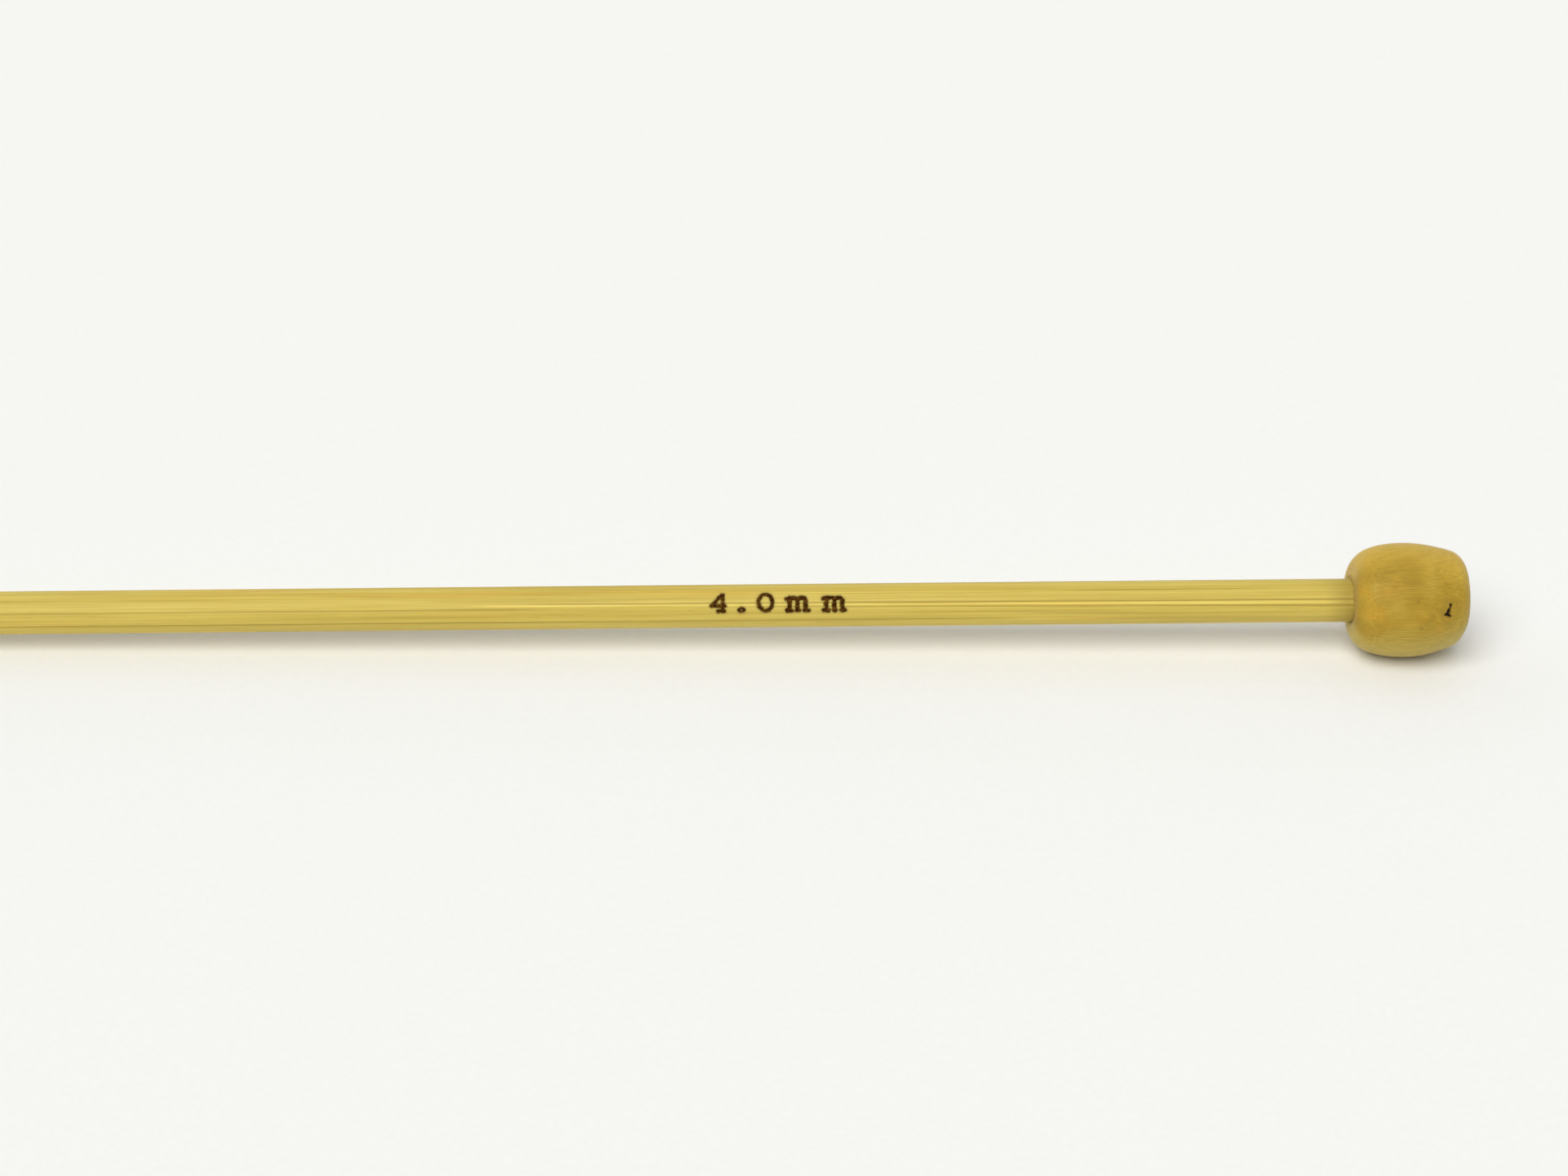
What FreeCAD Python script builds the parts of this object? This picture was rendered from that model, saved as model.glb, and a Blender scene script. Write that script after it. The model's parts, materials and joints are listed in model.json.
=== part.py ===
import FreeCAD, Part
import math
import os

# One straight, single-pointed knitting needle: a bamboo rod with a tapered point at one end
# and a turned wooden bead glued on the other, which stops the stitches from sliding off.
#
# Frame, in millimetres: the needle's axis is the X axis, with the point towards -X and the
# bead towards +X. The origin is on the axis, in the plane of the bead's stop face, where the
# last stitch rests. +Z is up as the needle lies on a table.

Vector = FreeCAD.Vector

# Driving dimensions
NEEDLE_LENGTH = 250.0         # from the point to the far end of the bead
SHAFT_DIAMETER = 4.0          # the needle's size
BEAD_LENGTH = 10.4
BEAD_DIAMETER = 10.6

# The point: a cone that blends out of the shaft and ends in a small ball
POINT_HALF_ANGLE = math.radians(7.0)
POINT_END_RADIUS = 0.55
POINT_BLEND_RADIUS = 45.0

# The bead's turned outside: one long arc, rounded into a flat end face at each end
WIDEST_FROM_STOP_FACE = 4.8
BEAD_SIDE_RADIUS = 12.0
STOP_SHOULDER_RADIUS = 2.2
FAR_SHOULDER_RADIUS = 1.9

# The glued joint: the shaft's end is turned down a little and sits in a blind drilled hole
TENON_DIAMETER = 3.4
TENON_LENGTH = 7.0
TENON_CHAMFER = 0.4
HOLE_DIAMETER = 3.6
HOLE_DEPTH = 7.3
HOLE_MOUTH_CHAMFER = 0.5
DRILL_POINT_HALF_ANGLE = math.radians(59.0)

# Sizes that follow from those above
SHAFT_RADIUS = SHAFT_DIAMETER / 2
BEAD_RADIUS = BEAD_DIAMETER / 2
TENON_RADIUS = TENON_DIAMETER / 2
HOLE_RADIUS = HOLE_DIAMETER / 2
POINT_X = BEAD_LENGTH - NEEDLE_LENGTH
HOLE_END_X = HOLE_DEPTH + HOLE_RADIUS / math.tan(DRILL_POINT_HALF_ANGLE)


def line(start, end):
    return Part.LineSegment(start, end).toShape()


def arc(centre, radius, first_angle, last_angle):
    """An arc in the XY plane, from first_angle to last_angle about its centre."""

    def at(angle):
        return centre + Vector(radius * math.cos(angle), radius * math.sin(angle), 0)

    middle = (first_angle + last_angle) / 2
    return Part.Arc(at(first_angle), at(middle), at(last_angle)).toShape()


def polyline(points):
    return [line(start, end) for start, end in zip(points, points[1:])]


def turned(edges):
    """The solid that a closed outline above the X axis makes when it is turned about X."""
    wire = Part.Wire(edges)
    face = Part.Face(wire)
    return face.revolve(Vector(0, 0, 0), Vector(1, 0, 0), 360)


def start_of(edge):
    return edge.valueAt(edge.FirstParameter)


def end_of(edge):
    return edge.valueAt(edge.LastParameter)


def make_needle_shaft():
    """The rod: ball end, cone, long blend, straight shaft, then the tenon in the bead."""
    slope = POINT_HALF_ANGLE
    ball_centre = Vector(POINT_X + POINT_END_RADIUS, 0, 0)
    ball = arc(ball_centre, POINT_END_RADIUS, math.pi, math.pi / 2 + slope)

    blend_drop = POINT_BLEND_RADIUS * (1 - math.cos(slope))
    cone_rise = SHAFT_RADIUS - blend_drop - end_of(ball).y
    blend_start_x = end_of(ball).x + cone_rise / math.tan(slope)
    blend_centre = Vector(
        blend_start_x + POINT_BLEND_RADIUS * math.sin(slope),
        SHAFT_RADIUS - POINT_BLEND_RADIUS,
        0,
    )
    blend = arc(blend_centre, POINT_BLEND_RADIUS, math.pi / 2 + slope, math.pi / 2)
    print("straight shaft, mm:", round(-blend_centre.x, 2))

    shaft_and_tenon = polyline([
        end_of(blend),
        Vector(0, SHAFT_RADIUS, 0),
        Vector(0, TENON_RADIUS, 0),
        Vector(TENON_LENGTH - TENON_CHAMFER, TENON_RADIUS, 0),
        Vector(TENON_LENGTH, TENON_RADIUS - TENON_CHAMFER, 0),
        Vector(TENON_LENGTH, 0, 0),
        Vector(POINT_X, 0, 0),
    ])
    cone = line(end_of(ball), start_of(blend))
    return turned([ball, cone, blend] + shaft_and_tenon)


def shoulder_centre(face_x, inward, radius):
    """The centre of a shoulder arc that touches an end face and the bead's side arc."""
    centre_x = face_x + inward * radius
    side_centre_y = BEAD_RADIUS - BEAD_SIDE_RADIUS
    reach = BEAD_SIDE_RADIUS - radius
    along = centre_x - WIDEST_FROM_STOP_FACE
    return Vector(centre_x, side_centre_y + math.sqrt(reach ** 2 - along ** 2), 0)


def make_bead_blank():
    """The turned bead before it is drilled."""
    side_centre = Vector(WIDEST_FROM_STOP_FACE, BEAD_RADIUS - BEAD_SIDE_RADIUS, 0)
    stop_centre = shoulder_centre(0, 1, STOP_SHOULDER_RADIUS)
    far_centre = shoulder_centre(BEAD_LENGTH, -1, FAR_SHOULDER_RADIUS)
    stop_angle = math.atan2(stop_centre.y - side_centre.y, stop_centre.x - side_centre.x)
    far_angle = math.atan2(far_centre.y - side_centre.y, far_centre.x - side_centre.x)

    stop_shoulder = arc(stop_centre, STOP_SHOULDER_RADIUS, math.pi, stop_angle)
    side = arc(side_centre, BEAD_SIDE_RADIUS, stop_angle, far_angle)
    far_shoulder = arc(far_centre, FAR_SHOULDER_RADIUS, far_angle, 0)
    flats = polyline([
        end_of(far_shoulder),
        Vector(BEAD_LENGTH, 0, 0),
        Vector(0, 0, 0),
        start_of(stop_shoulder),
    ])
    return turned([stop_shoulder, side, far_shoulder] + flats)


def make_bead_hole():
    """The drilled hole as a solid: a chamfered mouth, a straight wall and a drill point."""
    outline = polyline([
        Vector(0, 0, 0),
        Vector(0, HOLE_RADIUS + HOLE_MOUTH_CHAMFER, 0),
        Vector(HOLE_MOUTH_CHAMFER, HOLE_RADIUS, 0),
        Vector(HOLE_DEPTH, HOLE_RADIUS, 0),
        Vector(HOLE_END_X, 0, 0),
        Vector(0, 0, 0),
    ])
    return turned(outline)


def single_solid(shape, name):
    if len(shape.Solids) != 1:
        raise ValueError("%s has %d solids, not one" % (name, len(shape.Solids)))
    return shape.Solids[0]


def build_parts():
    needle_shaft = make_needle_shaft()
    hole = make_bead_hole()
    return {
        "needle_shaft": needle_shaft,
        "end_bead": make_bead_blank().cut(hole),
        # The cured glue fills what the shaft leaves of the drilled hole
        "glue_bond": hole.cut(needle_shaft),
    }


def main():
    os.makedirs("parts", exist_ok=True)
    for name, shape in build_parts().items():
        solid = single_solid(shape, name)
        solid.exportStep("parts/%s.step" % name)
        print(name, "volume, mm3:", round(solid.Volume, 3), "valid:", solid.isValid())


main()
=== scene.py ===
import json
import math

import bmesh
import bpy
import numpy as np
from mathutils import Matrix, Vector


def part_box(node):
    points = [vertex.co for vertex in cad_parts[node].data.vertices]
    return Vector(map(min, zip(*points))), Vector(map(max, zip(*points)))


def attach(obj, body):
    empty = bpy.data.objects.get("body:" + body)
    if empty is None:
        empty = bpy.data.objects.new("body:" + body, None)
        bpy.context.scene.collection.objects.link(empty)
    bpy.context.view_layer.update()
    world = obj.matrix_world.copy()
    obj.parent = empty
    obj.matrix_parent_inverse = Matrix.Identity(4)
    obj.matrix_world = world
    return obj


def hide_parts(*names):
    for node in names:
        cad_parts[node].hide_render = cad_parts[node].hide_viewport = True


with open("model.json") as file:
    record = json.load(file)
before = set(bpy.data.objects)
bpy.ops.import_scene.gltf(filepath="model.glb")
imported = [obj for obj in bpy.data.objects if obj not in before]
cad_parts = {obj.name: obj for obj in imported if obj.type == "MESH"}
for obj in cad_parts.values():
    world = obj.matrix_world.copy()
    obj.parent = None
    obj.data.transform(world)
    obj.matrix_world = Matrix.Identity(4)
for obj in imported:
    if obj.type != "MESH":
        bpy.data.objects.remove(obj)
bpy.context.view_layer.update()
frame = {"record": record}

# A straight knitting needle: a bamboo rod with a tapered point, a turned wooden bead glued on
# its other end, and a burnt size mark. Everything is in metres, in the CAD model's frame: the
# needle's axis is the X axis, the bead is towards +X, and the origin is on the axis in the
# plane of the bead's stop face. Angles round the axis are measured from -Y towards +Z.

MM = 0.001
UM = 0.000001

# ------------------------------------------------------------------ sizes

# Taken from the frame
STITCH_SHAFT = next(m for m in frame["record"]["mounts"] if m["name"] == "stitch_shaft")
SHAFT_RADIUS = STITCH_SHAFT["dims"]["r_mm"] * MM
STRAIGHT_START_X = -STITCH_SHAFT["dims"]["length_mm"] * MM
TIP_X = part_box("needle_shaft")[0].x
TENON_END_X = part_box("needle_shaft")[1].x
BEAD_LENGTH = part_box("end_bead")[1].x
BEAD_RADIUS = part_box("end_bead")[1].z
HOLE_END_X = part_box("glue_bond")[1].x
HOLE_MOUTH_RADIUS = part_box("glue_bond")[1].z

# The frame doesn't hold the rest. They are the CAD model's own sizes: first the point
POINT_HALF_ANGLE = math.radians(7.0)
POINT_END_RADIUS = 0.55 * MM
POINT_BLEND_RADIUS = 45.0 * MM

# The bead's turned outline
WIDEST_X = 4.8 * MM
BEAD_SIDE_RADIUS = 12.0 * MM
STOP_SHOULDER_RADIUS = 2.2 * MM
FAR_SHOULDER_RADIUS = 1.9 * MM

# The joint inside the bead
TENON_RADIUS = 1.7 * MM
TENON_CHAMFER = 0.4 * MM
HOLE_RADIUS = 1.8 * MM
HOLE_DEPTH = 7.3 * MM
HOLE_MOUTH_CHAMFER = HOLE_MOUTH_RADIUS - HOLE_RADIUS
GLUE_GAP = 5 * UM

FAR_AWAY = 1.0                # a distance that no two points of the needle are apart


# ------------------------------------------------------------------ arrays and meshes

def graded(start, end, coarse, fine, zones):
    """Values from start to end, a fine step apart inside the zones and a coarse one outside."""
    borders = sorted({start, end}.union(*zones))
    stretches = []
    for low, high in zip(borders, borders[1:]):
        inside = any(zone[0] <= low and high <= zone[1] for zone in zones)
        count = math.ceil((high - low) / (fine if inside else coarse) - 0.001)
        stretches.append(np.linspace(low, high, count, endpoint=False))
    return np.concatenate(stretches + [np.array([end])])


def smooth_step(value, low, high):
    """0 up to low, 1 from high on, and a smooth rise between."""
    share = np.clip((value - low) / (high - low), 0, 1)
    return share * share * (3 - 2 * share)


NOISE_CELLS = 512


def lattice_noise(u, v, seed, around=None):
    """Smooth noise from -1 to 1, one random value per unit cell. v repeats after `around` cells."""
    size = (NOISE_CELLS, around or NOISE_CELLS)
    table = np.random.default_rng(seed).uniform(-1, 1, size)
    column, row = np.floor(u).astype(int), np.floor(v).astype(int)
    across, along = smooth_step(u - column, 0, 1), smooth_step(v - row, 0, 1)

    def at(i, j):
        return table[(column + i) % table.shape[0], (row + j) % table.shape[1]]

    low = at(0, 0) * (1 - across) + at(1, 0) * across
    high = at(0, 1) * (1 - across) + at(1, 1) * across
    return low * (1 - along) + high * along


def angle_between(angle, middle):
    """How far an angle is from another one, from -pi to pi."""
    return (angle - middle + math.pi) % (2 * math.pi) - math.pi


def round_axis(x, radius, angle):
    """Points at this place along the axis, distance from it and angle round it."""
    x, radius, angle = np.broadcast_arrays(x, radius, angle)
    return np.stack([x, -radius * np.cos(angle), radius * np.sin(angle)], axis=-1)


def lathe_mesh(name, points, start_x, end_x):
    """A closed skin over a grid of points, (ring, column), with a pole on the axis at each end."""
    rings, columns = points.shape[:2]
    vertices = [(start_x, 0, 0), (end_x, 0, 0)] + points.reshape(-1, 3).tolist()
    index = np.arange(rings * columns).reshape(rings, columns) + 2
    beside = np.roll(index, -1, axis=1)
    quads = np.stack([index[:-1], index[1:], beside[1:], beside[:-1]], axis=-1)
    faces = quads.reshape(-1, 4).tolist()
    faces += [(0, here, there) for here, there in zip(index[0].tolist(), beside[0].tolist())]
    faces += [(1, there, here) for here, there in zip(index[-1].tolist(), beside[-1].tolist())]
    mesh = bpy.data.meshes.new(name)
    mesh.from_pydata(vertices, [], faces)
    mesh.shade_smooth()
    return mesh


def set_attribute(mesh, name, values):
    """A number per grid point, for the material. It is 0 at the two poles."""
    attribute = mesh.attributes.new(name, "FLOAT", "POINT")
    everywhere = np.concatenate([[0, 0], np.ravel(values)]).astype(np.float32)
    attribute.data.foreach_set("value", everywhere)


def add_piece(name, mesh, material, slot, *nodes):
    """An object of the needle, which stands for the CAD nodes named, if any."""
    piece = bpy.data.objects.new(name, mesh)
    bpy.context.scene.collection.objects.link(piece)
    mesh.materials.append(material)
    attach(piece, "root")
    if nodes:
        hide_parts(*nodes)
    return piece


# ------------------------------------------------------------------ shader nodes

def linear(red, green, blue):
    """A display colour, 0 to 255 a channel, as the linear colour that shaders take."""
    def decode(value):
        share = value / 255
        return share / 12.92 if share <= 0.04045 else ((share + 0.055) / 1.055) ** 2.4

    return (decode(red), decode(green), decode(blue), 1.0)


class Tree:
    """A material's or the world's nodes, added one by one with short calls."""

    def __init__(self, owner):
        owner.use_nodes = True
        self.nodes = owner.node_tree.nodes
        self.links = owner.node_tree.links
        self.nodes.clear()

    def add(self, kind, inputs, **settings):
        """A new node. An input is a value, or the socket that is linked to it."""
        node = self.nodes.new(kind)
        for key, value in settings.items():
            setattr(node, key, value)
        for key, value in inputs.items():
            if isinstance(value, bpy.types.NodeSocket):
                self.links.new(value, node.inputs[key])
            else:
                node.inputs[key].default_value = value
        return node

    def attribute(self, name):
        return self.add("ShaderNodeAttribute", {}, attribute_name=name).outputs["Fac"]

    def place(self):
        return self.add("ShaderNodeTexCoord", {}).outputs["Object"]

    def stretched(self, vector, along, across):
        """The place in grain lengths: `along` is one grain's length, `across` its thickness."""
        scale = (1 / along, 1 / across, 1 / across)
        node = self.add("ShaderNodeMapping", {"Vector": vector, "Scale": scale})
        return node.outputs["Vector"]

    def noise(self, vector, detail=2.0, roughness=0.5, warp=0.0):
        inputs = {
            "Vector": vector, "Scale": 1.0, "Detail": detail,
            "Roughness": roughness, "Distortion": warp,
        }
        return self.add("ShaderNodeTexNoise", inputs).outputs["Fac"]

    def math(self, operation, first, second=0.0):
        node = self.add("ShaderNodeMath", {0: first, 1: second}, operation=operation)
        return node.outputs["Value"]

    def weighed(self, first, first_share, second, second_share):
        """The sum of two values, each times its share."""
        first_part = self.math("MULTIPLY", first, first_share)
        second_part = self.math("MULTIPLY", second, second_share)
        return self.math("ADD", first_part, second_part)

    def ranged(self, value, low, high, to_low=0.0, to_high=1.0):
        """A smooth step from one range to another."""
        inputs = {
            "Value": value, "From Min": low, "From Max": high,
            "To Min": to_low, "To Max": to_high,
        }
        node = self.add("ShaderNodeMapRange", inputs, interpolation_type="SMOOTHSTEP")
        return node.outputs["Result"]

    def ramp(self, value, *stops):
        """Colours along a value, each stop a place and the colour there."""
        node = self.add("ShaderNodeValToRGB", {"Fac": value})
        elements = node.color_ramp.elements
        elements[0].position, elements[0].color = stops[0]
        elements[1].position, elements[1].color = stops[-1]
        for position, colour in stops[1:-1]:
            elements.new(position).color = colour
        return node.outputs["Color"]

    def mixed(self, share, first, second, blend="MIX"):
        """Two colours mixed. The node's colour sockets have numbers, as their names repeat."""
        inputs = {0: share, 6: first, 7: second}
        node = self.add("ShaderNodeMix", inputs, data_type="RGBA", blend_type=blend)
        return node.outputs[2]

    def bump(self, height, distance):
        inputs = {"Height": height, "Distance": distance, "Strength": 1.0}
        return self.add("ShaderNodeBump", inputs).outputs["Normal"]

    def surface(self, **inputs):
        named = {key.replace("_", " "): value for key, value in inputs.items()}
        shader = self.add("ShaderNodeBsdfPrincipled", named)
        self.add("ShaderNodeOutputMaterial", {"Surface": shader.outputs["BSDF"]})


def new_material(name):
    material = bpy.data.materials.new(name)
    return material, Tree(material)


# ------------------------------------------------------------------ materials

def make_bamboo():
    """Polished bamboo: straight pale fibres, thin brown bundles and a satin wax."""
    material, tree = new_material("bamboo")
    place = tree.place()
    broad = tree.noise(tree.stretched(place, 60 * MM, 2.2 * MM), detail=1.0)
    strips = tree.noise(tree.stretched(place, 45 * MM, 0.42 * MM), detail=2.0)
    fibres = tree.noise(tree.stretched(place, 12 * MM, 0.075 * MM), detail=2.0, warp=0.15)
    dashes = tree.noise(tree.stretched(place, 2.4 * MM, 0.05 * MM), detail=1.0)

    tone = tree.weighed(strips, 0.55, broad, 0.45)
    colour = tree.ramp(
        tone,
        (0.30, linear(193, 170, 78)),
        (0.50, linear(208, 186, 90)),
        (0.70, linear(217, 198, 105)),
    )
    honey = tree.noise(tree.stretched(place, 38 * MM, 1.9 * MM), detail=1.0, warp=0.2)
    colour = tree.mixed(tree.ranged(honey, 0.50, 0.72, 0.0, 0.5), colour, linear(214, 176, 76))
    streak = tree.ramp(fibres, (0.30, (0.86, 0.83, 0.74, 1)), (0.62, (1.04, 1.04, 1.05, 1)))
    colour = tree.mixed(1.0, colour, streak, "MULTIPLY")
    bundle = tree.ranged(dashes, 0.66, 0.80, 0.0, 0.38)
    colour = tree.mixed(bundle, colour, linear(128, 94, 32))

    line = tree.attribute("fibre_line")
    dark = tree.ranged(line, 0.0, -1.0)
    pale = tree.ranged(line, 0.0, 1.0)
    colour = tree.mixed(dark, colour, (0.50, 0.46, 0.34, 1), "MULTIPLY")
    colour = tree.mixed(pale, colour, (1.26, 1.29, 1.45, 1), "MULTIPLY")
    # Painted shade: the shaft darkens over its last few millimetres next to the bead
    colour = tree.mixed(tree.attribute("painted_joint_shade"), colour, linear(140, 118, 44))
    colour = tree.mixed(tree.attribute("scorch"), colour, linear(78, 46, 10))

    relief = tree.weighed(fibres, 0.6, strips, 0.4)
    tree.surface(
        Base_Color=colour,
        Roughness=tree.ranged(fibres, 0.2, 0.8, 0.62, 0.48),
        Specular_IOR_Level=0.25,
        Subsurface_Weight=0.35,
        Subsurface_Radius=(1.0, 0.75, 0.35),
        Subsurface_Scale=0.9 * MM,
        Normal=tree.bump(relief, 0.012 * MM),
    )
    return material


def make_bead_wood():
    """Fine-grained turned wood: ochre, with the grain along the needle, round a pin knot."""
    material, tree = new_material("bead_wood")
    place = tree.add("ShaderNodeAttribute", {}, attribute_name="grain").outputs["Vector"]
    clouds = tree.noise(tree.stretched(place, 3.6 * MM, 2.6 * MM), detail=2.0)
    warm = tree.noise(tree.stretched(place, 2.2 * MM, 1.7 * MM), detail=1.0)
    grain = tree.noise(tree.stretched(place, 6.0 * MM, 0.13 * MM), detail=3.0, warp=0.1)
    pores = tree.noise(tree.stretched(place, 0.7 * MM, 0.05 * MM), detail=1.0)

    colour = tree.ramp(
        clouds,
        (0.30, linear(163, 134, 39)),
        (0.50, linear(174, 143, 45)),
        (0.70, linear(184, 155, 58)),
    )
    golden = tree.ranged(warm, 0.52, 0.74, 0.0, 0.6)
    colour = tree.mixed(golden, colour, linear(192, 149, 44))
    # Painted light: the upper back is painted lighter and yellower where light falls from above, and
    # the underside paler and greener as a painted reflection of the floor
    side = tree.attribute("side")
    colour = tree.mixed(tree.ranged(side, 0.0, 1.0), colour, linear(202, 169, 66))
    colour = tree.mixed(tree.ranged(side, 0.0, -1.0), colour, linear(187, 165, 76))
    streak = tree.ramp(grain, (0.30, (0.82, 0.79, 0.70, 1)), (0.66, (1.06, 1.06, 1.08, 1)))
    colour = tree.mixed(1.0, colour, streak, "MULTIPLY")
    pore = tree.ranged(pores, 0.64, 0.80, 0.0, 0.40)
    colour = tree.mixed(pore, colour, linear(112, 82, 26))
    colour = tree.mixed(tree.attribute("knot"), colour, linear(140, 114, 32))
    colour = tree.mixed(tree.attribute("speck"), colour, linear(104, 74, 20))
    colour = tree.mixed(tree.attribute("pit"), colour, linear(26, 10, 3))

    relief = tree.math("SUBTRACT", grain, tree.math("MULTIPLY", pore, 0.8))
    tree.surface(
        Base_Color=colour,
        Roughness=tree.ranged(grain, 0.2, 0.8, 0.66, 0.54),
        Specular_IOR_Level=0.22,
        Sheen_Weight=0.16,
        Sheen_Roughness=0.35,
        Subsurface_Weight=0.25,
        Subsurface_Radius=(1.0, 0.7, 0.3),
        Subsurface_Scale=0.8 * MM,
        Normal=tree.bump(relief, 0.012 * MM),
    )
    return material


def make_glue():
    """Cured wood glue: amber, glossy where it is clean and dull where dust has stuck."""
    material, tree = new_material("glue")
    place = tree.place()
    dust = tree.noise(tree.stretched(place, 0.35 * MM, 0.35 * MM), detail=3.0)
    ripples = tree.noise(tree.stretched(place, 0.6 * MM, 0.9 * MM), detail=2.0)
    colour = tree.ramp(dust, (0.35, linear(182, 152, 66)), (0.65, linear(160, 130, 48)))
    # Painted shade: the glue is painted dark where it is drawn in on the joint's open lower side,
    # standing in for the shade in that gap
    colour = tree.mixed(tree.attribute("painted_gap_shade"), colour, linear(62, 46, 14))
    tree.surface(
        Base_Color=colour,
        Roughness=tree.ranged(dust, 0.3, 0.7, 0.42, 0.7),
        Specular_IOR_Level=0.2,
        Normal=tree.bump(ripples, 0.03 * MM),
    )
    return material


def make_char():
    """The burnt mark: a thin blistered crust, from dark brown to nearly black."""
    material, tree = new_material("char")
    place = tree.place()
    blotches = tree.noise(tree.stretched(place, 0.30 * MM, 0.22 * MM), detail=3.0)
    blisters = tree.noise(tree.stretched(place, 0.10 * MM, 0.06 * MM), detail=2.0)
    colour = tree.ramp(
        blotches,
        (0.34, linear(40, 20, 0)),
        (0.52, linear(72, 42, 3)),
        (0.72, linear(116, 78, 18)),
    )
    tree.surface(
        Base_Color=colour,
        Roughness=tree.ranged(blisters, 0.3, 0.7, 0.9, 0.6),
        Specular_IOR_Level=0.05,
        Normal=tree.bump(blisters, 0.02 * MM),
    )
    return material


def make_paper():
    """The pale floor: plain paper with a barely visible tooth."""
    material, tree = new_material("paper")
    tooth = tree.noise(tree.stretched(tree.place(), 0.5 * MM, 0.5 * MM), detail=4.0)
    colour = tree.ramp(tooth, (0.3, (0.885, 0.888, 0.872, 1)), (0.7, (0.905, 0.908, 0.892, 1)))
    tree.surface(
        Base_Color=colour,
        Roughness=0.85,
        Specular_IOR_Level=0.15,
        Normal=tree.bump(tooth, 0.01 * MM),
    )
    return material


# ------------------------------------------------------------------ the size mark's letterforms

# Each stroke is a list of points in millimetres from the digits' centre, x along the shaft and
# y up the letter. The letters are plain strokes with slab feet, of the builder's own drawing.

BASELINE = -0.80
TOP = 0.80
LOWER_CASE_TOP = 0.40
STEM_GAP = 0.74               # between the stems of an m
ARCH_HEIGHT = 0.28

# Half the width of a stroke
THIN = 0.12
PLAIN = 0.175
BOLD = 0.20


def bow(centre_x, centre_y, half_width, half_height, from_deg, to_deg, steps=12):
    """A stretch of an ellipse as a stroke."""
    angles = np.radians(np.linspace(from_deg, to_deg, steps + 1))
    across = centre_x + half_width * np.cos(angles)
    up = centre_y + half_height * np.sin(angles)
    return list(zip(across.tolist(), up.tolist()))


def letter_four():
    stem_x = 0.40
    bar_y = -0.31
    bar_half = 0.61
    return [
        [(stem_x - 0.04, TOP), (-bar_half, bar_y), (bar_half, bar_y)],
        [(stem_x, TOP), (stem_x, BASELINE)],
        [(stem_x - 0.41, BASELINE), (stem_x + 0.16, BASELINE)],
    ]


def letter_zero():
    half_width = 0.635
    return [bow(0, (TOP + BASELINE) / 2, half_width, (TOP - BASELINE) / 2, 0, 360, 28)]


def letter_point():
    half_width = 0.27
    half_height = 0.16
    return [bow(0, BASELINE + 0.10, half_width, half_height, 0, 360)]


def letter_m():
    arch_y = LOWER_CASE_TOP - ARCH_HEIGHT
    serif = [(-STEM_GAP - 0.26, LOWER_CASE_TOP - 0.10), (-STEM_GAP, LOWER_CASE_TOP)]
    strokes = [serif + [(-STEM_GAP, BASELINE)]]
    for stem_x in (0, STEM_GAP):
        arch = bow(stem_x - STEM_GAP / 2, arch_y, STEM_GAP / 2, ARCH_HEIGHT, 165, 0)
        strokes.append(arch + [(stem_x, BASELINE)])
    for foot_from, foot_to in ((-0.96, -0.56), (-0.06, 0.14), (0.64, 0.97)):
        strokes.append([(foot_from, BASELINE), (foot_to, BASELINE)])
    return strokes


MARK_ANGLE = math.radians(39.8)
# Each letter: its centre along the needle, half the width of its strokes, and the strokes
MARK = [
    (-58.53 * MM, PLAIN, letter_four()),
    (-56.38 * MM, THIN, letter_point()),
    (-54.19 * MM, PLAIN, letter_zero()),
    (-51.24 * MM, BOLD, letter_m()),
    (-47.86 * MM, BOLD, letter_m()),
]
MARK_START_X = -59.7 * MM
MARK_END_X = -46.4 * MM
GROOVE_DEPTH = 0.07 * MM
RAGGED = 0.05 * MM            # how far the burnt edges wander
CRUMBS = 0.03 * MM            # and how far their finer breaks do


def stroke_distance(across, up, strokes):
    """How far points in a letter's own plane, in metres, are from the middle of its strokes."""
    nearest = np.full(np.shape(across), FAR_AWAY)
    for stroke in strokes:
        for (x0, y0), (x1, y1) in zip(stroke, stroke[1:]):
            run_x, run_y = (x1 - x0) * MM, (y1 - y0) * MM
            from_x, from_y = across - x0 * MM, up - y0 * MM
            share = (from_x * run_x + from_y * run_y) / (run_x ** 2 + run_y ** 2)
            share = np.clip(share, 0, 1)
            distance = np.hypot(from_x - share * run_x, from_y - share * run_y)
            nearest = np.minimum(nearest, distance)
    return nearest


def mark_distance(x, angle):
    """How far points on the shaft are from the edge of the mark's strokes: below 0 inside."""
    up = (angle - MARK_ANGLE) * SHAFT_RADIUS
    nearest = np.full(np.shape(x), FAR_AWAY)
    for letter_x, half_width, strokes in MARK:
        distance = stroke_distance(x - letter_x, up, strokes) - half_width * MM
        nearest = np.minimum(nearest, distance)
    ragged = lattice_noise(x / (0.17 * MM), up / (0.15 * MM) + 100, seed=5)
    crumbs = lattice_noise(x / (0.08 * MM), up / (0.08 * MM) + 100, seed=6)
    return nearest + RAGGED * ragged + CRUMBS * crumbs


# ------------------------------------------------------------------ the shaft

LINE_FADE = 6 * MM            # over which a fibre line comes up at its ends


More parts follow.
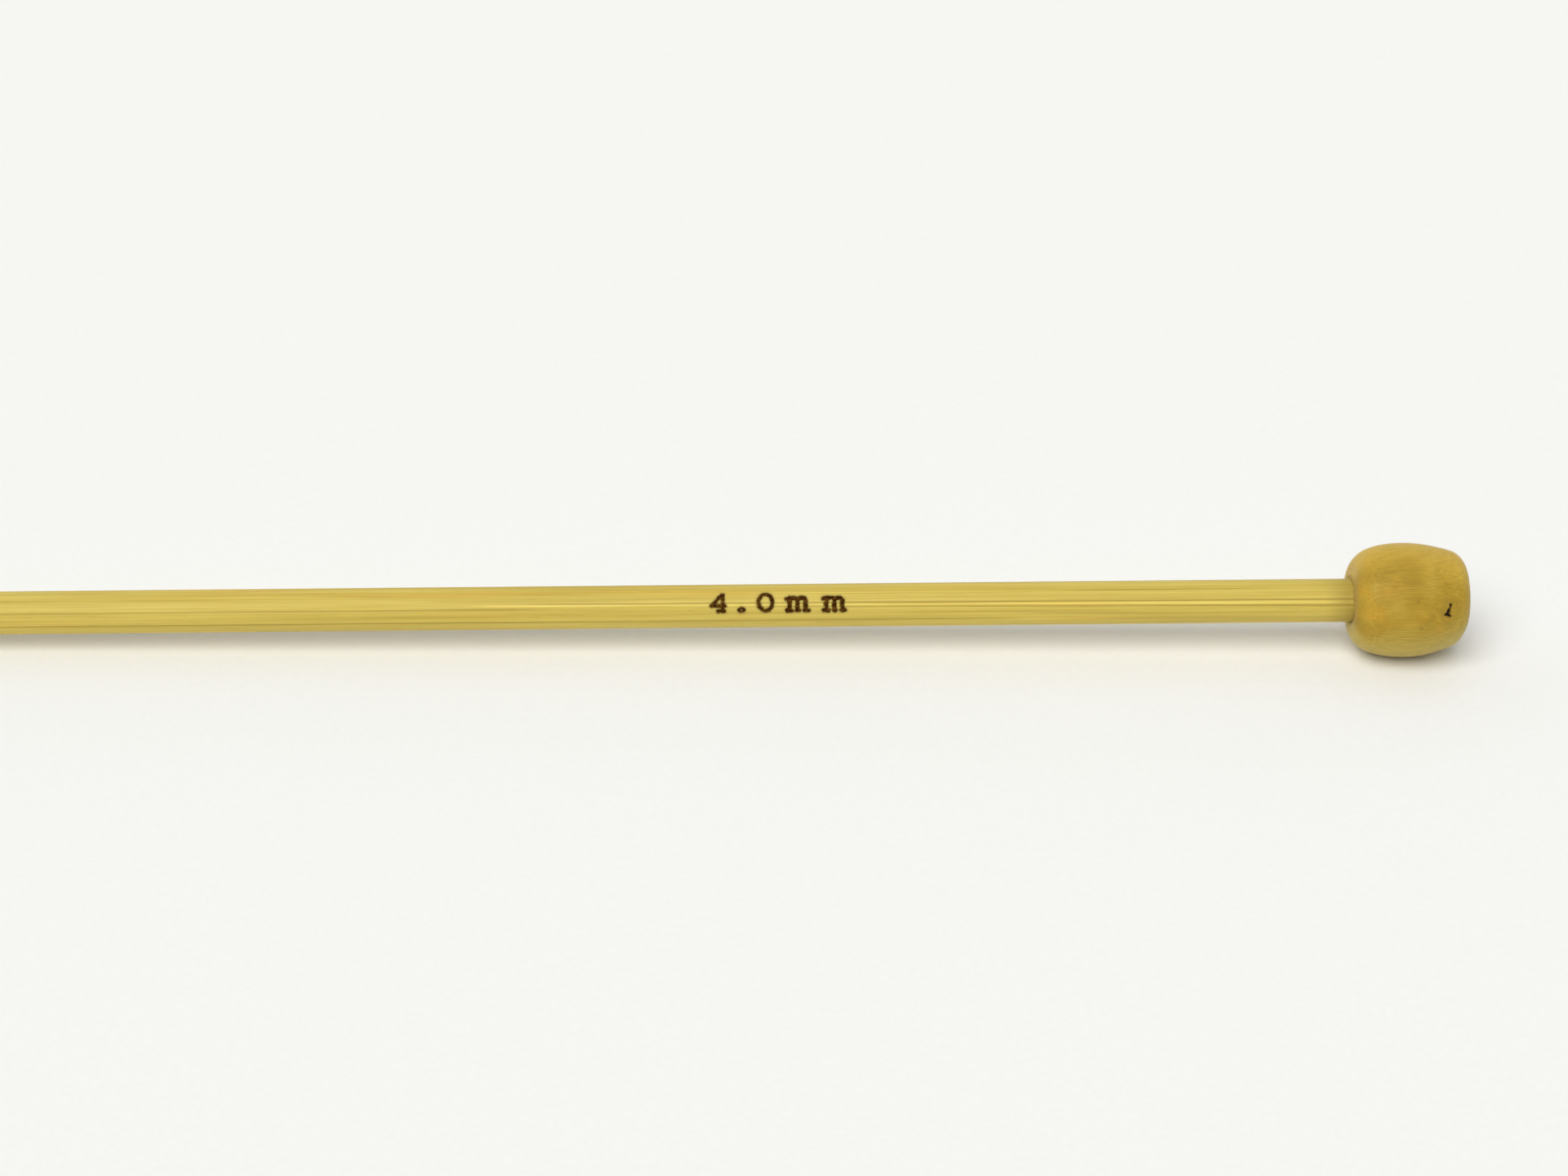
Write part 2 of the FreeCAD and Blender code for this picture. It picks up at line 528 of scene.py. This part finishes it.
class FibreLine:
    """A bundle that shows at the surface: a thin dark groove, or a pale ridge."""

    def __init__(self, from_mm, to_mm, from_deg, to_deg, half_width_deg, strength):
        self.start, self.end = from_mm * MM, to_mm * MM
        self.from_angle, self.to_angle = math.radians(from_deg), math.radians(to_deg)
        self.half_width = math.radians(half_width_deg)
        self.strength = strength

    def at(self, x, angle):
        """The line's share of each point, from 0 beside it to its strength in its middle."""
        share = np.clip((x - self.start) / (self.end - self.start), 0, 1)
        middle = self.from_angle + (self.to_angle - self.from_angle) * share
        aside = np.abs(angle_between(angle, middle))
        fade = min(LINE_FADE, (self.end - self.start) / 3)
        length = smooth_step(x, self.start, self.start + fade)
        length = length * (1 - smooth_step(x, self.end - fade, self.end))
        return self.strength * length * (1 - smooth_step(aside, 0, self.half_width))


# The lines that the marked side shows: start and end along the needle in mm, the angle at each,
# half the width in degrees, and how dark (below 0) or pale (above 0)
MARKED_SIDE_LINES = [
    FibreLine(-80, 8, 39.7, 33.6, 2.5, -0.95),
    FibreLine(-84, 8, 36.2, 25.0, 4.8, 1.00),
    FibreLine(-58, 8, 29.3, 16.2, 2.5, -0.90),
    FibreLine(-242, -72, 29.0, 25.5, 2.4, -0.85),
    FibreLine(-242, -28, -10.5, -12.5, 2.8, -0.90),
    FibreLine(-54, -48.5, -22.5, -24.0, 2.8, 0.80),
    FibreLine(-45, -20, -16.5, -16.5, 3.2, 0.65),
    FibreLine(-46, -18, 9.6, 9.6, 2.2, -0.60),
    FibreLine(-58, -28, 66.0, 65.0, 4.5, 0.45),
    FibreLine(-30, -5, 65.8, 66.6, 2.4, -0.70),
    FibreLine(-34, -2, 3.0, -2.0, 3.2, -0.50),
    FibreLine(-200, -96, 58.0, 61.0, 3.0, -0.40),
]
HIDDEN_SIDE_LINES = 30


def all_fibre_lines():
    """The lines of the marked side, and others like them all round the back."""
    chance = np.random.default_rng(41)
    lines = list(MARKED_SIDE_LINES)
    for _ in range(HIDDEN_SIDE_LINES):
        start_mm = chance.uniform(-260, -40)
        length_mm = chance.uniform(25, 190)
        start_deg = chance.uniform(78, 318)
        wander_deg = chance.uniform(-3, 3)
        half_width_deg = chance.uniform(2.0, 4.0)
        strength = chance.choice([-0.8, -0.6, -0.4, 0.5, 0.8])
        end_mm = start_mm + length_mm
        end_deg = start_deg + wander_deg
        lines.append(FibreLine(start_mm, end_mm, start_deg, end_deg, half_width_deg, strength))
    return lines


def point_radius(x):
    """The CAD point's radius: a small ball, a cone and a long blend into the straight shaft."""
    slope = POINT_HALF_ANGLE
    blend_start = STRAIGHT_START_X - POINT_BLEND_RADIUS * math.sin(slope)
    blend_start_radius = SHAFT_RADIUS - POINT_BLEND_RADIUS * (1 - math.cos(slope))
    ball_end = TIP_X + POINT_END_RADIUS * (1 - math.sin(slope))
    ball = np.sqrt(np.maximum(POINT_END_RADIUS ** 2 - (POINT_END_RADIUS - (x - TIP_X)) ** 2, 0))
    cone = blend_start_radius - (blend_start - x) * math.tan(slope)
    before = np.minimum(x - STRAIGHT_START_X, 0)
    blend = SHAFT_RADIUS - POINT_BLEND_RADIUS + np.sqrt(POINT_BLEND_RADIUS ** 2 - before ** 2)
    return np.where(x < ball_end, ball, np.where(x < blend_start, cone, blend))


SHAFT_COLUMNS = 252
SHAFT_STEP = 2.0 * MM         # between rings on the plain shaft
SHAFT_FINE_STEP = 0.08 * MM   # and at the mark and the joint
SEEN_END_X = -0.02 * MM       # the last ring that is seen, just short of the bead
JOINT_START_X = -0.7 * MM
TAPER_RINGS = 42


def shaft_outline():
    """The rod's rings: place along the axis, radius, and whether the ring is seen."""
    ball = TIP_X + POINT_END_RADIUS * (1 - np.cos(np.linspace(0.12, 1.35, 9)))
    taper_start_x = ball[-1] + 0.15 * MM
    # The joint's zone runs past the last ring, which then comes twice and so keeps a sharp edge
    fine_zones = [(MARK_START_X, MARK_END_X), (JOINT_START_X, 0)]
    rest = graded(taper_start_x, SEEN_END_X, SHAFT_STEP, SHAFT_FINE_STEP, fine_zones)
    taper = np.linspace(taper_start_x, STRAIGHT_START_X, TAPER_RINGS, endpoint=False)
    seen = np.concatenate([ball, taper, rest[rest >= STRAIGHT_START_X]])
    radius = point_radius(seen)
    hidden = [
        (0, TENON_RADIUS),
        (0.5 * TENON_END_X, TENON_RADIUS),
        (TENON_END_X - TENON_CHAMFER, TENON_RADIUS),
        (TENON_END_X, TENON_RADIUS - TENON_CHAMFER),
    ]
    x = np.concatenate([seen, [place for place, _ in hidden]])
    radius = np.concatenate([radius, [size for _, size in hidden]])
    return x[:, None], radius[:, None], (np.arange(len(x)) < len(seen))[:, None]


LINE_RELIEF = 14 * UM
FIBRE_RELIEF = 3.5 * UM
FLAT_RELIEF = 9 * UM
FIBRES_ROUND = 126            # how many fibres there are round the shaft
FLATS_ROUND = 9
SHADE_WAVES_ROUND = 10
SCORCH_SHARE = 0.9            # how brown the wood is at the mark's edge
SCORCH_REACH = 0.05 * MM
JOINT_SHADE_SHARE = 0.62         # how dark the painted shade makes the shaft at the bead


def make_shaft(material):
    """The bamboo rod, with its fibre lines and the mark's grooves cut into its surface."""
    x, radius, seen = shaft_outline()
    angle = np.linspace(-math.pi, math.pi, SHAFT_COLUMNS, endpoint=False)[None, :]
    x, radius, angle, seen = np.broadcast_arrays(x, radius, angle, seen)

    line = np.zeros(x.shape)
    for fibre in all_fibre_lines():
        line = line + fibre.at(x, angle)
    line = np.clip(line, -1, 1)
    turns = angle / (2 * math.pi)
    fibres = lattice_noise(x / (22 * MM) + 40, turns * FIBRES_ROUND, seed=1, around=FIBRES_ROUND)
    flats = lattice_noise(x / (90 * MM) + 40, turns * FLATS_ROUND, seed=2, around=FLATS_ROUND)
    ridge_or_groove = np.where(line < 0, line, 0.55 * line)
    relief = LINE_RELIEF * ridge_or_groove + FIBRE_RELIEF * fibres + FLAT_RELIEF * flats

    marked = (x > MARK_START_X) & (x < MARK_END_X)
    distance = np.where(marked, mark_distance(x, angle), FAR_AWAY)
    groove = 1 - smooth_step(distance, -0.05 * MM, 0.04 * MM)
    scorch = SCORCH_SHARE * np.exp(-np.maximum(distance, 0) / SCORCH_REACH)

    # Painted shade: darker over the shaft's last 3 to 4 mm towards the bead, with a wavering edge
    shade_wave = lattice_noise(x / (1.1 * MM) + 40, turns * SHADE_WAVES_ROUND, seed=3, around=SHADE_WAVES_ROUND)
    painted_joint_shade = JOINT_SHADE_SHARE * smooth_step(x / MM + 0.5 * shade_wave, -3.4, 0.4)

    thickness = np.clip(radius / SHAFT_RADIUS, 0, 1)
    radius = radius + np.where(seen, relief * thickness - GROOVE_DEPTH * groove, 0)
    mesh = lathe_mesh("needle_shaft_wood", round_axis(x, radius, angle), TIP_X, TENON_END_X)
    set_attribute(mesh, "fibre_line", line)
    set_attribute(mesh, "scorch", scorch)
    set_attribute(mesh, "painted_joint_shade", painted_joint_shade)
    return add_piece("bamboo_shaft", mesh, material, "bamboo", "needle_shaft")


CRUST_STEP = 0.03 * MM        # between the points of its grid
CRUST_HALF_WIDTH = 1.30 * MM
CRUST_HALF_HEIGHT = 1.10 * MM
CRUST_EDGE = 0.02 * MM        # how far it reaches past the strokes
OWN_REACH = 0.4 * MM          # a letter's crust keeps this near to its own strokes
CRUST_TOP = 0.025 * MM        # below the shaft's surface
CRUST_BOTTOM = 0.16 * MM      # below it too, and below the groove's floor
CRUST_SINK = 0.10 * MM        # how far its edge sinks into the groove
BLISTER_HEIGHT = 0.012 * MM
BLISTER_SIZE = 0.07 * MM


def letter_crust(letter_x, strokes):
    """One letter's crust: where its top and bottom are, and which cells of its grid it fills."""
    across = np.arange(-CRUST_HALF_WIDTH, CRUST_HALF_WIDTH, CRUST_STEP)
    up = np.arange(-CRUST_HALF_HEIGHT, CRUST_HALF_HEIGHT, CRUST_STEP)
    x, height = np.meshgrid(letter_x + across, up, indexing="ij")
    angle = MARK_ANGLE + height / SHAFT_RADIUS
    distance = mark_distance(x, angle)
    blister = lattice_noise(x / BLISTER_SIZE, height / BLISTER_SIZE + 100, seed=9)
    sunk = smooth_step(distance, -0.035 * MM, 0.02 * MM)
    radius = SHAFT_RADIUS - CRUST_TOP + BLISTER_HEIGHT * blister - CRUST_SINK * sunk
    top = round_axis(x, radius, angle)
    bottom = round_axis(x, SHAFT_RADIUS - CRUST_BOTTOM, angle)

    own = stroke_distance(x - letter_x, height, strokes) < OWN_REACH
    kept = (distance < CRUST_EDGE) & own
    whole_cells = kept[:-1, :-1] & kept[1:, :-1] & kept[:-1, 1:] & kept[1:, 1:]
    return top, bottom, np.argwhere(whole_cells).tolist()


def add_letter_crust(vertices, faces, letter_x, strokes):
    """A closed shell over one letter: its top, its bottom, and a wall along every free edge."""
    top, bottom, cells = letter_crust(letter_x, strokes)
    number = {}
    edges = []
    for i, j in cells:
        keys = [(i, j), (i + 1, j), (i + 1, j + 1), (i, j + 1)]
        for key in keys:
            if key not in number:
                number[key] = len(vertices)
                vertices.append(top[key].tolist())
                vertices.append(bottom[key].tolist())
        corners = [number[key] for key in keys]
        faces.append(corners)
        faces.append([corner + 1 for corner in reversed(corners)])
        edges += zip(corners, corners[1:] + corners[:1])
    inner = set(edges)
    for start, end in edges:
        if (end, start) not in inner:
            faces.append([end, start, start + 1, end + 1])


def make_mark(material):
    """The charred crust in the mark's grooves: a closed shell over each letter."""
    vertices = []
    faces = []
    for letter_x, _, strokes in MARK:
        add_letter_crust(vertices, faces, letter_x, strokes)
    mesh = bpy.data.meshes.new("size_mark_crust")
    mesh.from_pydata(vertices, [], faces)
    mesh.shade_smooth()
    return add_piece("size_mark", mesh, material, "bamboo")


# ------------------------------------------------------------------ the bead

def shoulder_centre(face_x, inward, radius):
    """The centre of a shoulder arc that touches an end face and the bead's side arc."""
    centre_x = face_x + inward * radius
    reach = BEAD_SIDE_RADIUS - radius
    drop = math.sqrt(reach ** 2 - (centre_x - WIDEST_X) ** 2)
    return centre_x, BEAD_RADIUS - BEAD_SIDE_RADIUS + drop


def arc_points(centre, radius, from_angle, to_angle, step):
    """Points along an arc, about a step apart: their places along the axis, and their radii."""
    count = max(2, round(abs(to_angle - from_angle) * radius / step))
    angles = np.linspace(from_angle, to_angle, count + 1)
    return centre[0] + radius * np.cos(angles), centre[1] + radius * np.sin(angles)


def bead_outside(step):
    """The bead's turned outline, from the edge of the hole's mouth to the far end's middle."""
    side = (WIDEST_X, BEAD_RADIUS - BEAD_SIDE_RADIUS)
    stop = shoulder_centre(0, 1, STOP_SHOULDER_RADIUS)
    far = shoulder_centre(BEAD_LENGTH, -1, FAR_SHOULDER_RADIUS)
    stop_angle = math.atan2(stop[1] - side[1], stop[0] - side[0])
    far_angle = math.atan2(far[1] - side[1], far[0] - side[0])
    stretches = [
        (np.zeros(5), np.linspace(HOLE_MOUTH_RADIUS, stop[1], 5)),
        arc_points(stop, STOP_SHOULDER_RADIUS, math.pi, stop_angle, step),
        arc_points(side, BEAD_SIDE_RADIUS, stop_angle, far_angle, step),
        arc_points(far, FAR_SHOULDER_RADIUS, far_angle, 0, step),
        (np.full(25, BEAD_LENGTH), np.linspace(far[1], 0.06 * MM, 25)),
    ]
    x = np.concatenate([stretches[0][0]] + [part[0][1:] for part in stretches[1:]])
    radius = np.concatenate([stretches[0][1]] + [part[1][1:] for part in stretches[1:]])
    return x, radius


KNOT_X = 8.05 * MM
KNOT_RADIUS = 4.85 * MM       # how far its middle is from the axis
KNOT_ANGLE = math.radians(17.0)
KNOT_REACH = 1.5 * MM         # how far before its middle the rings come close together
SHOULDER_RADIUS = 3.2 * MM    # the knot and its close rings stay this far from the axis
# The open crack in the knot's middle, as strokes in millimetres, along the needle and round it,
# each with half its width
KNOT_CRACK = [
    (0.130, [(0.12, 0.62), (0.15, 0.54)]),
    (0.095, [(0.08, 0.36), (0.00, 0.10)]),
    (0.180, [(-0.02, 0.10), (-0.06, -0.12), (-0.12, -0.28)]),
    (0.110, [(-0.10, -0.08), (-0.36, -0.28)]),
    (0.115, [(-0.10, -0.28), (0.14, -0.48)]),
]
# Pin specks: place along the needle in mm, angle in degrees, size in mm
BEAD_SPECKS = [(5.10, 27.9, 0.15), (5.49, 0.1, 0.16)]
SPECK_SHARE = 0.45

# Where the turned shape is flat, or full where the depth is below 0: the depth as a share of
# FLAT_DEPTH, place along the needle and reach in mm, angle in degrees and reach in radians
BEAD_FLATS = [
    (1.00, 9.0, 1.9, -38, 0.42),
    (1.30, 0.5, 1.3, 108, 0.6),
    (0.55, 0.9, 1.2, -60, 0.5),
    (-0.75, 9.5, 1.3, 95, 0.7),
]
FLAT_DEPTH = 0.16 * MM

LUMP_HEIGHT = 22 * UM
GRAIN_HEIGHT = 3 * UM
CUT_HEIGHT = 2.5 * UM
LUMPS_ROUND = 6               # how many lumps there are round the bead
GRAINS_ROUND = 150
CUTS_ROUND = 5


def knot_shape(x, around):
    """The knot's relief in metres, its stain and its open pit, round the knot's middle."""
    reach = np.hypot(x / (0.95 * MM), around / (1.25 * MM))
    ring = np.exp(-((reach - 0.85) / 0.25) ** 2)
    bowl = np.exp(-(reach / 0.55) ** 2)
    ragged = lattice_noise(x / (0.1 * MM) + 50, around / (0.1 * MM) + 50, seed=12)
    pit = np.zeros(np.shape(x))
    for half_width, stroke in KNOT_CRACK:
        crack = stroke_distance(x, around, [stroke]) - (half_width + 0.02 * ragged) * MM
        pit = np.maximum(pit, 1 - smooth_step(crack, -0.02 * MM, 0.04 * MM))
    relief = (0.035 * ring - 0.05 * bowl - 0.30 * pit) * MM
    stain = np.clip(0.40 * bowl + 0.30 * ring, 0, 1)
    return relief, stain, pit


def bead_specks(x, angle):
    """Dark pin specks in the bead's wood, 0 to 1."""
    dark = np.zeros(np.shape(x))
    for speck_x, degrees, size in BEAD_SPECKS:
        along = x - speck_x * MM
        around = (angle - math.radians(degrees)) * BEAD_RADIUS
        speck = np.exp(-(np.hypot(along, around) / (size * MM)) ** 2)
        dark = np.maximum(dark, SPECK_SHARE * speck)
    return dark


def bead_flats(x, radius, angle):
    """How far the bead's outline falls short of a true turning: above 0 where it is flatter."""
    share = np.zeros(np.shape(x))
    for depth, flat_x, reach_x, degrees, reach_angle in BEAD_FLATS:
        along = (x - flat_x * MM) / (reach_x * MM)
        around = (angle - math.radians(degrees)) / reach_angle
        share = share + depth * np.exp(-along ** 2 - around ** 2)
    clear_of_mouth = smooth_step(radius, HOLE_MOUTH_RADIUS, HOLE_MOUTH_RADIUS + 0.6 * MM)
    return FLAT_DEPTH * clear_of_mouth * share


def bead_texture(x, radius, angle, lumps):
    """Small lumps, grain and tool marks, which fade out at the hole's mouth and the far middle."""
    turns = angle / (2 * math.pi)
    grain = lattice_noise(x / (5 * MM) + 9, turns * GRAINS_ROUND, seed=22, around=GRAINS_ROUND)
    cuts = lattice_noise(x / (0.3 * MM) + 9, turns * CUTS_ROUND, seed=23, around=CUTS_ROUND)
    clear_of_mouth = smooth_step(radius, HOLE_MOUTH_RADIUS, HOLE_MOUTH_RADIUS + 0.3 * MM)
    clear_of_axis = smooth_step(radius, 0, 1.0 * MM)
    share = np.where(x > WIDEST_X, clear_of_axis, clear_of_mouth)
    return share * (LUMP_HEIGHT * lumps + GRAIN_HEIGHT * grain + CUT_HEIGHT * cuts)


def bead_painted_light(radius, angle, lumps):
    """Painted light and shade on the bead: above 0 up and back, painted lighter as if lit from above;
    below 0 down and forward, painted paler and greener as a reflection of the floor.
    """
    upper = smooth_step(np.cos(angle - math.radians(112)) + 0.3 * lumps, 0.1, 1.0)
    lower = smooth_step(np.cos(angle + math.radians(72)) + 0.3 * lumps, 0.1, 1.0)
    return (upper - lower) * smooth_step(radius, 0.4 * MM, 3.4 * MM)


def bead_rings():
    """The bead's outline, with its rings closer together over the knot."""
    x, radius = bead_outside(0.10 * MM)
    fine_x, fine_radius = bead_outside(0.045 * MM)
    fine = (fine_x > KNOT_X - KNOT_REACH) & (fine_radius > SHOULDER_RADIUS)
    replaced = np.flatnonzero((x >= KNOT_X - KNOT_REACH) & (radius > SHOULDER_RADIUS))
    before = replaced[0]
    after = replaced[-1] + 1
    x = np.concatenate([x[:before], fine_x[fine], x[after:]])
    radius = np.concatenate([radius[:before], fine_radius[fine], radius[after:]])
    return x, radius


def bead_hole():
    """The drilled hole's outline, from beside the drill's point to the chamfered mouth."""
    from_point = 0.1 * MM
    drill_slope = HOLE_RADIUS / (HOLE_END_X - HOLE_DEPTH)
    wall_x = [HOLE_DEPTH, 0.6 * HOLE_DEPTH, 0.3 * HOLE_DEPTH, HOLE_MOUTH_CHAMFER]
    x = np.array([HOLE_END_X - from_point] + wall_x)
    radius = np.array([from_point * drill_slope] + [HOLE_RADIUS] * len(wall_x))
    return x, radius


def outward(x, radius):
    """The direction out of the bead at each point of its outline, along and off the axis."""
    slope_x = np.gradient(x)
    slope_radius = np.gradient(radius)
    length = np.hypot(slope_x, slope_radius)
    return -slope_radius / length, slope_x / length


def make_bead(material):
    """The turned bead with its drilled, chamfered hole and the pin knot on its far shoulder."""
    column_angle = np.radians(graded(-180, 178.5, 1.5, 0.5, [(0, 34)]))[None, :]
    ring_x, ring_radius = bead_rings()
    out_x, out_radius = outward(ring_x, ring_radius)
    x, radius, angle = np.broadcast_arrays(ring_x[:, None], ring_radius[:, None], column_angle)

    around_knot = angle_between(angle, KNOT_ANGLE) * KNOT_RADIUS
    knot, stain, pit = knot_shape(x - KNOT_X, around_knot)
    on_shoulder = radius > SHOULDER_RADIUS
    turns = angle / (2 * math.pi)
    lumps = lattice_noise(x / (3.4 * MM) + 9, turns * LUMPS_ROUND + 3, seed=21, around=LUMPS_ROUND)
    height = knot * on_shoulder + bead_texture(x, radius, angle, lumps) - bead_flats(x, radius, angle)

    hole_x, hole_radius = bead_hole()
    inner = round_axis(hole_x[:, None], hole_radius[:, None], column_angle)
    outer = round_axis(x + height * out_x[:, None], radius + height * out_radius[:, None], angle)
    points = np.concatenate([inner, outer])
    mesh = lathe_mesh("end_bead_wood", points, HOLE_END_X, BEAD_LENGTH)

    hidden = np.zeros(inner.shape[:2])
    shown = {
        "knot": stain * on_shoulder,
        "pit": pit * on_shoulder,
        "speck": bead_specks(x, angle),
        # side: the painted light and shade on the bead's top and underside
        "side": bead_painted_light(radius, angle, lumps),
    }
    for name, values in shown.items():
        set_attribute(mesh, name, np.concatenate([hidden, values]))
    set_grain(mesh)
    return add_piece("wooden_bead", mesh, material, "bead_wood", "end_bead")


def set_grain(mesh):
    """Where each point lies in the straight grain, which parts and flows round the knot."""
    places = np.empty(len(mesh.vertices) * 3, np.float32)
    mesh.vertices.foreach_get("co", places)
    places = places.reshape(-1, 3)
    knot = round_axis(KNOT_X, KNOT_RADIUS, KNOT_ANGLE)
    from_knot = places - knot
    distance = np.linalg.norm(from_knot, axis=1, keepdims=True)
    aside = from_knot * (0, 1, 1)
    push = np.exp(-(distance / (1.3 * MM)) ** 2)
    bent = places - 0.55 * push * aside
    attribute = mesh.attributes.new("grain", "FLOAT_VECTOR", "POINT")
    attribute.data.foreach_set("vector", bent.astype(np.float32).ravel())


# ------------------------------------------------------------------ the glue

GLUE_SHRINK = 0.34 * MM       # how far the glue has drawn back where the joint is open
OPEN_SIDE = math.radians(-42.0)
OPEN_HALF_WIDTH = math.radians(46.0)
FILLET_BULGE = 0.05 * MM      # how far it stands out of the joint where it is whole
RIPPLE_HEIGHT = 0.012 * MM
RIPPLES_ROUND = 30
GLUE_COLUMNS = 144
FILLET_RINGS = 9


def make_glue_bond(material):
    """The cured glue: a cup round the shaft's end, with a small fillet that shows at the joint."""
    angle = np.linspace(-math.pi, math.pi, GLUE_COLUMNS, endpoint=False)[None, :]
    inner_radius = TENON_RADIUS + GLUE_GAP
    inside = [
        (TENON_END_X + GLUE_GAP, 0.2 * MM),
        (TENON_END_X + GLUE_GAP, TENON_RADIUS - TENON_CHAMFER),
        (TENON_END_X - TENON_CHAMFER + GLUE_GAP, inner_radius),
        (0.5 * TENON_END_X, inner_radius),
        (0.02 * MM, inner_radius),
        (0.02 * MM, SHAFT_RADIUS - GLUE_GAP),
    ]
    outside = [
        (HOLE_MOUTH_CHAMFER + GLUE_GAP, HOLE_RADIUS - GLUE_GAP),
        (0.5 * HOLE_DEPTH, HOLE_RADIUS - GLUE_GAP),
        (HOLE_DEPTH, HOLE_RADIUS - GLUE_GAP),
        (HOLE_END_X - 0.15 * MM, 0.2 * MM),
    ]

    # The fillet sags from the shaft to the mouth's edge, and is drawn in on its open side
    across = np.linspace(0, 1, FILLET_RINGS)[:, None]
    aside = np.abs(angle_between(angle, OPEN_SIDE))
    drawn_in = GLUE_SHRINK * (1 - smooth_step(aside, 0.35 * OPEN_HALF_WIDTH, OPEN_HALF_WIDTH))
    turns = angle / (2 * math.pi)
    ripple = lattice_noise(across * 2, turns * RIPPLES_ROUND, seed=31, around=RIPPLES_ROUND)
    fillet_x = -FILLET_BULGE * (1 - across) ** 2 + drawn_in + RIPPLE_HEIGHT * ripple
    edge = HOLE_MOUTH_RADIUS - np.maximum(fillet_x, 0) - GLUE_GAP
    fillet_radius = (SHAFT_RADIUS - 0.01 * MM) * (1 - across) + edge * across

    def rings(outline):
        x = np.array([place for place, _ in outline])[:, None]
        radius = np.array([size for _, size in outline])[:, None]
        return round_axis(x, radius, angle)

    # Painted shade, strongest where the glue is drawn in most
    painted_gap_shade = drawn_in / GLUE_SHRINK * np.ones(across.shape)
    fillet = round_axis(fillet_x, fillet_radius, angle)
    points = np.concatenate([rings(inside), fillet, rings(outside)])
    mesh = lathe_mesh("glue_bond_cup", points, TENON_END_X + GLUE_GAP, HOLE_END_X - 0.02 * MM)
    clean_inside = np.zeros((len(inside), angle.shape[1]))
    clean_outside = np.zeros((len(outside), angle.shape[1]))
    set_attribute(mesh, "painted_gap_shade", np.concatenate([clean_inside, painted_gap_shade, clean_outside]))
    return add_piece("glue_fillet", mesh, material, "glue", "glue_bond")


# ------------------------------------------------------------------ floor, light and camera

FLOOR_HALF_SIZE = 4.0
FLOOR_CELLS = 16


def make_floor(material):
    """A pale table that the bead and the far end of the straight shaft both rest on."""
    drop = (BEAD_RADIUS - SHAFT_RADIUS) / (WIDEST_X - STRAIGHT_START_X)
    level = -BEAD_RADIUS + drop * WIDEST_X
    mesh = bpy.data.meshes.new("table_top")
    grid = bmesh.new()
    cells = {"x_segments": FLOOR_CELLS, "y_segments": FLOOR_CELLS}
    bmesh.ops.create_grid(grid, size=FLOOR_HALF_SIZE, **cells)
    for vertex in grid.verts:
        vertex.co.z = level - drop * vertex.co.x
    grid.to_mesh(mesh)
    grid.free()
    mesh.materials.append(material)
    floor = bpy.data.objects.new("table_top", mesh)
    bpy.context.scene.collection.objects.link(floor)


KEY_TILT = math.radians(38.0)      # from overhead towards the near side
KEY_TURN = math.radians(-28.0)     # and round towards the point
KEY_SPREAD = math.radians(50.0)
KEY_STRENGTH = 2.64
HORIZON = 0.04                # the height of a direction, as its Z, where the surround is brightest
SKY = 0.25                    # and where it has dimmed


def make_lights():
    """One broad soft key from above the near side and the point, and a pale surround."""
    lamp = bpy.data.lights.new("key", "SUN")
    lamp.energy = KEY_STRENGTH
    lamp.angle = KEY_SPREAD
    lamp.color = (1.0, 0.995, 0.98)
    key = bpy.data.objects.new("key", lamp)
    key.rotation_euler = (KEY_TILT, 0, KEY_TURN)
    bpy.context.scene.collection.objects.link(key)

    world = bpy.data.worlds.new("surround")
    bpy.context.scene.world = world
    tree = Tree(world)
    direction = tree.add("ShaderNodeTexCoord", {}).outputs["Generated"]
    split = tree.add("ShaderNodeSeparateXYZ", {"Vector": direction}).outputs
    colour = tree.ramp(
        split["Z"],
        (HORIZON, (0.92, 0.923, 0.905, 1)),
        (SKY, (0.355, 0.357, 0.351, 1)),
        (0.70, (0.285, 0.287, 0.283, 1)),
    )
    # Above the horizon the surround is brighter behind the needle than on the near side
    above = tree.ranged(split["Z"], HORIZON, SKY)
    lean = tree.ranged(split["Y"], -0.6, 0.6, -0.8, 1.2)
    strength = tree.math("ADD", tree.math("MULTIPLY", above, lean), 1.0)
    background = tree.add("ShaderNodeBackground", {"Color": colour, "Strength": strength})
    tree.add("ShaderNodeOutputWorld", {"Surface": background.outputs["Background"]})


CAMERA_ELEVATION = math.radians(30.0)
CAMERA_ROLL = math.radians(0.54)
CAMERA_DISTANCE = 242.4 * MM
AIM_X = -52.49 * MM           # where the view's middle line passes the needle
AIM_ABOVE_AXIS = 1.63 * MM    # and how far above the needle's axis, in the picture's plane
LENS_MM = 60.0
SENSOR_MM = 36.0


def make_camera():
    """A close view, square to the needle and from above its near side."""
    forward = Vector((0, math.cos(CAMERA_ELEVATION), -math.sin(CAMERA_ELEVATION)))
    roll = Matrix.Rotation(CAMERA_ROLL, 3, forward)
    right = roll @ Vector((1, 0, 0))
    up = right.cross(forward)
    aim = Vector((AIM_X, 0, 0)) + AIM_ABOVE_AXIS * up
    data = bpy.data.cameras.new("camera")
    data.lens = LENS_MM
    data.sensor_width = SENSOR_MM
    data.clip_start = 5 * MM
    data.clip_end = 20.0
    camera = bpy.data.objects.new("camera", data)
    axes = Matrix((right, up, -forward)).transposed()
    camera.matrix_world = Matrix.Translation(aim - CAMERA_DISTANCE * forward) @ axes.to_4x4()
    bpy.context.scene.collection.objects.link(camera)
    bpy.context.scene.camera = camera


# ------------------------------------------------------------------ the scene

make_camera()
make_shaft(make_bamboo())
make_mark(make_char())
make_bead(make_bead_wood())
make_glue_bond(make_glue())
make_floor(make_paper())
make_lights()
bpy.context.scene.view_settings.view_transform = "Standard"
